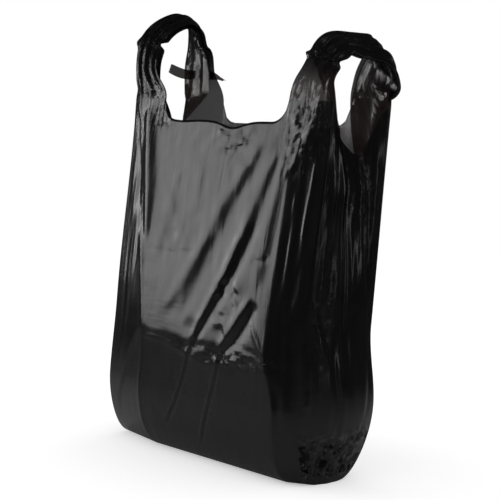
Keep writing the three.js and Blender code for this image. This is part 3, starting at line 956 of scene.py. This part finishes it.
def socket(group, name, kind, way="INPUT"):
    """Adds a named socket to a node group."""
    group.interface.new_socket(name=name, in_out=way, socket_type="NodeSocket" + kind)


def fill(tree, node, values):
    """Fills a node's inputs, by name or number: sockets are linked, values are set."""
    for key, value in values.items():
        if isinstance(value, bpy.types.NodeSocket):
            tree.links.new(value, node.inputs[key])
        else:
            node.inputs[key].default_value = value
    return node


def maths(tree, operation, *values, kind="ShaderNodeMath", output="Value"):
    """Adds a Math or Vector Math node on values and sockets, and gives its output."""
    node = tree.nodes.new(kind)
    node.operation = operation
    return fill(tree, node, dict(enumerate(values))).outputs[output]


def wrinkle_group():
    """Node group: height of fine wrinkles at a place on the film, with two scales."""
    group = bpy.data.node_groups.new("film_wrinkles", "ShaderNodeTree")
    socket(group, "Place", "Vector")
    socket(group, "Across", "Float")
    socket(group, "Along", "Float")
    socket(group, "Height", "Float", "OUTPUT")
    given = group.nodes.new("NodeGroupInput").outputs
    scale = group.nodes.new("ShaderNodeCombineXYZ")
    fill(group, scale, {"X": given["Across"], "Y": given["Along"]})
    place = maths(
        group, "MULTIPLY", given["Place"], scale.outputs["Vector"],
        kind=VECTOR_MATH, output="Vector",
    )
    noise = group.nodes.new("ShaderNodeTexNoise")
    shape = {"Scale": 1.0, "Detail": 4.0, "Roughness": 0.55, "Distortion": 0.4}
    fill(group, noise, {"Vector": place, **shape})
    fill(group, group.nodes.new("NodeGroupOutput"), {"Height": noise.outputs["Fac"]})
    return group


def facet_group():
    """Node group: height in metres of flat crushed facets, each tilted its own way.

    A Voronoi texture gives every cell a middle and a random colour. The height is
    the way from the middle, times the colour less one half, times the gain.
    """
    group = bpy.data.node_groups.new("crushed_facets", "ShaderNodeTree")
    socket(group, "Place", "Vector")
    socket(group, "Cells per metre", "Float")
    socket(group, "Gain", "Float")
    socket(group, "Height", "Float", "OUTPUT")
    given = group.nodes.new("NodeGroupInput").outputs
    cells = group.nodes.new("ShaderNodeTexVoronoi")
    cells.voronoi_dimensions = "2D"
    fill(group, cells, {"Vector": given["Place"], "Scale": given["Cells per metre"]})
    cell = cells.outputs
    subtract = {"kind": VECTOR_MATH, "output": "Vector"}
    way = maths(group, "SUBTRACT", given["Place"], cell["Position"], **subtract)
    tilt = maths(group, "SUBTRACT", cell["Color"], (0.5, 0.5, 0.5), **subtract)
    product = maths(group, "DOT_PRODUCT", way, tilt, kind=VECTOR_MATH)
    gained = maths(group, "MULTIPLY", product, given["Gain"])
    fill(group, group.nodes.new("NodeGroupOutput"), {"Height": gained})
    return group


def group_height(tree, group, values):
    """Places a node group, fills its inputs and gives its height."""
    node = tree.nodes.new("ShaderNodeGroup")
    node.node_tree = group
    return fill(tree, node, values).outputs["Height"]


def mask_node(tree, name):
    """Reads a mask that is kept on the points of the mesh."""
    node = tree.nodes.new("ShaderNodeAttribute")
    node.attribute_name = name
    return node.outputs["Fac"]


def bump(tree, height, distance, below=None):
    """A bump, over another one where that is given, and the normal that it makes."""
    values = {"Strength": 1.0, "Distance": distance, "Height": height}
    if below is not None:
        values["Normal"] = below
    return fill(tree, tree.nodes.new("ShaderNodeBump"), values).outputs["Normal"]


def film_material():
    """Glossy black film: uneven gloss, wrinkles and facets in the bump, and a painted brown backlight
    glow where it is thin.
    """
    material = bpy.data.materials.new("black_film")
    material.use_nodes = True
    tree = material.node_tree
    film_map = tree.nodes.new("ShaderNodeUVMap")
    film_map.uv_map = "film_map"
    place = film_map.outputs["UV"]
    wrinkles, facets = wrinkle_group(), facet_group()

    def wrinkled(scales):
        """Height of wrinkles with the scales (across, along), in noise per metre."""
        values = {"Place": place, "Across": scales[0], "Along": scales[1]}
        return group_height(tree, wrinkles, values)

    gloss = tree.nodes.new("ShaderNodeMapRange")
    reach = {"From Min": 0.3, "From Max": 0.7, "To Min": ROUGHNESS[0], "To Max": ROUGHNESS[1]}
    fill(tree, gloss, {"Value": wrinkled(GLOSS_PATCHES), **reach})
    # The thin mask lowers the Alpha and mixes in the painted brown glow of backlight.
    thin_and_backlit_mask = mask_node(tree, "thin_and_backlit")
    tone = tree.nodes.new("ShaderNodeMix")
    tone.data_type = "RGBA"
    fill(tree, tone, {"Factor": thin_and_backlit_mask, "A": FILM_BLACK, "B": PAINTED_BACKLIGHT_BROWN})
    gain = maths(tree, "MULTIPLY_ADD", mask_node(tree, "strand"), STRAND_GAIN, 1.0)
    upright = maths(tree, "MULTIPLY", gain, wrinkled(UPRIGHT_WRINKLES))
    cells = {"Place": place, "Cells per metre": FACETS_PER_METRE, "Gain": FACET_GAIN}
    flats = maths(tree, "MULTIPLY", group_height(tree, facets, cells), mask_node(tree, "crush"))
    normal = bump(tree, upright, UPRIGHT_HEIGHT)
    normal = bump(tree, wrinkled(LEVEL_WRINKLES), LEVEL_HEIGHT, normal)
    normal = bump(tree, flats, 1.0, normal)
    alpha = maths(tree, "MULTIPLY_ADD", thin_and_backlit_mask, THIN_ALPHA - FILM_ALPHA, FILM_ALPHA)
    look = {"Base Color": tone.outputs["Result"], "Roughness": gloss.outputs["Result"]}
    look.update({"IOR": FILM_IOR, "Alpha": alpha, "Normal": normal})
    fill(tree, tree.nodes["Principled BSDF"], look)
    return material


black_film = film_material()
bag_film.data.materials.append(black_film)
torn_strip.data.materials.append(black_film)
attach(bag_film, "root")
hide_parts("carrier_bag")
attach(torn_strip, "root")
print("film finish made, base colour", FILM_BLACK[:3])

# %% [markdown]
# The studio: a plain pale floor, a white surround for the camera, and five area
# lamps. The front softbox stands where the flat front of the bag mirrors it to the
# camera, so it is the front panel that lights up. The strips draw the lines along
# edges and folds. Glossy rays see little of the surround and none of the floor's glow.
# They see a pool of light painted on the floor for them alone, bright near the bag
# and darkening outward, because a black film is only as bright as what it mirrors,
# and most of this one mirrors the dark.

# %% Floor
FLOOR_SIZE = 6.0
FLOOR_DROP = 0.0002
FLOOR_TONE = 0.8
FLOOR_GLOW = 0.45
FLOOR_GLOSSY_GLOW = 0.0
# Tones of a painted pool of light on the floor, seen only in reflections: bright near the bag, dark
# far out.
PAINTED_POOL_NEAR = (0.15, 0.45)
PAINTED_POOL_FAR = (0.9, 0.03)
WHITE = (1.0, 1.0, 1.0, 1.0)


def clear_rays(tree, rays):
    """1 for rays that come from the camera straight or through something clear."""
    return maths(tree, "MAXIMUM", rays["Is Camera Ray"], rays["Is Transmission Ray"])


def floor_material():
    """A matt floor that glows for the camera, with a painted pool of light for glossy rays.

    The tones of that painted pool are set by the distance from the middle, (metres, tone)
    near and far.
    """
    material = bpy.data.materials.new("floor_paint")
    material.use_nodes = True
    tree = material.node_tree
    rays = tree.nodes.new("ShaderNodeLightPath").outputs
    glossy = maths(tree, "MULTIPLY", rays["Is Glossy Ray"], FLOOR_GLOSSY_GLOW)
    seen = maths(tree, "MAXIMUM", clear_rays(tree, rays), glossy)
    place = tree.nodes.new("ShaderNodeTexCoord").outputs["Object"]
    distance = maths(tree, "LENGTH", place, kind=VECTOR_MATH)
    # A painted pool of light: bright near the middle and darker outward, for glossy rays only.
    painted_pool = tree.nodes.new("ShaderNodeMapRange")
    places = {"From Min": PAINTED_POOL_NEAR[0], "From Max": PAINTED_POOL_FAR[0]}
    tones = {"To Min": PAINTED_POOL_NEAR[1], "To Max": PAINTED_POOL_FAR[1]}
    fill(tree, painted_pool, {"Value": distance, **places, **tones})
    tone = tree.nodes.new("ShaderNodeMix")
    blended = {"A": FLOOR_TONE, "B": painted_pool.outputs["Result"]}
    fill(tree, tone, {"Factor": rays["Is Glossy Ray"], **blended})
    look = {"Base Color": tone.outputs["Result"], "Roughness": 0.9, "Specular IOR Level": 0.0}
    look["Emission Color"] = WHITE
    look["Emission Strength"] = maths(tree, "MULTIPLY", seen, FLOOR_GLOW)
    fill(tree, tree.nodes["Principled BSDF"], look)
    return material


floor_mesh = bpy.data.meshes.new("floor")
half = FLOOR_SIZE / 2
corners = [(-half, -half), (half, -half), (half, half), (-half, half)]
floor_mesh.from_pydata([(x, y, -FLOOR_DROP) for x, y in corners], [], [(0, 1, 2, 3)])
floor = bpy.data.objects.new("floor", floor_mesh)
bpy.context.collection.objects.link(floor)
floor_mesh.materials.append(floor_material())
print("floor:", FLOOR_SIZE, "m wide")

# %% World and lamps
WORLD_SOFT = 0.75
WORLD_MIRRORED = 0.04
LAMP_TARGET = (0.0, 0.0, 0.2)
LAMPS = [
    ("front_softbox", -53.0, 0.45, 1.7, (0.9, 0.8), 2.7),
    ("edge_strip", -68.0, 0.45, 1.65, (0.10, 0.7), 5.5),
    ("top_strip", 20.0, 1.6, 0.5, (0.14, 0.5), 1.4),
    ("rear_strip", 108.0, 0.35, 1.6, (0.10, 0.9), 2.0),
    ("rear_fill", 158.0, 0.55, 1.6, (0.25, 0.6), 1.0),
]


def world_strength(tree):
    """White to the camera, soft to matt surfaces, dim to mirrors of it."""
    rays = tree.nodes.new("ShaderNodeLightPath").outputs
    change = WORLD_MIRRORED - WORLD_SOFT
    dim = maths(tree, "MULTIPLY_ADD", rays["Is Glossy Ray"], change, WORLD_SOFT)
    return maths(tree, "MAXIMUM", clear_rays(tree, rays), dim)


world = bpy.data.worlds.new("studio")
bpy.context.scene.world = world
world.use_nodes = True
surround = {"Color": WHITE, "Strength": world_strength(world.node_tree)}
fill(world.node_tree, world.node_tree.nodes["Background"], surround)



def softbox(name, azimuth, height, distance, size, radiance):
    """An area lamp at an azimuth about +Z (0 is in front), facing the bag."""
    angle = np.radians(azimuth)
    place = np.array([np.sin(angle) * distance, -np.cos(angle) * distance, height])
    back = place - np.array(LAMP_TARGET)
    back /= np.linalg.norm(back)
    right = np.cross([0.0, 0.0, 1.0], back)
    right /= np.linalg.norm(right)
    up = np.cross(back, right)
    lamp = bpy.data.lights.new(name, "AREA")
    lamp.shape = "RECTANGLE"
    lamp.size, lamp.size_y = size
    lamp.energy = float(radiance * np.pi * size[0] * size[1])
    made = bpy.data.objects.new(name, lamp)
    bpy.context.collection.objects.link(made)
    turn = Matrix(np.array([right, up, back]).T.tolist()).to_4x4()
    made.matrix_world = Matrix.Translation(place.tolist()) @ turn


for lamp_row in LAMPS:
    softbox(*lamp_row)
bpy.context.scene.view_settings.view_transform = "Standard"
print("lamps:", ", ".join(row[0] for row in LAMPS))
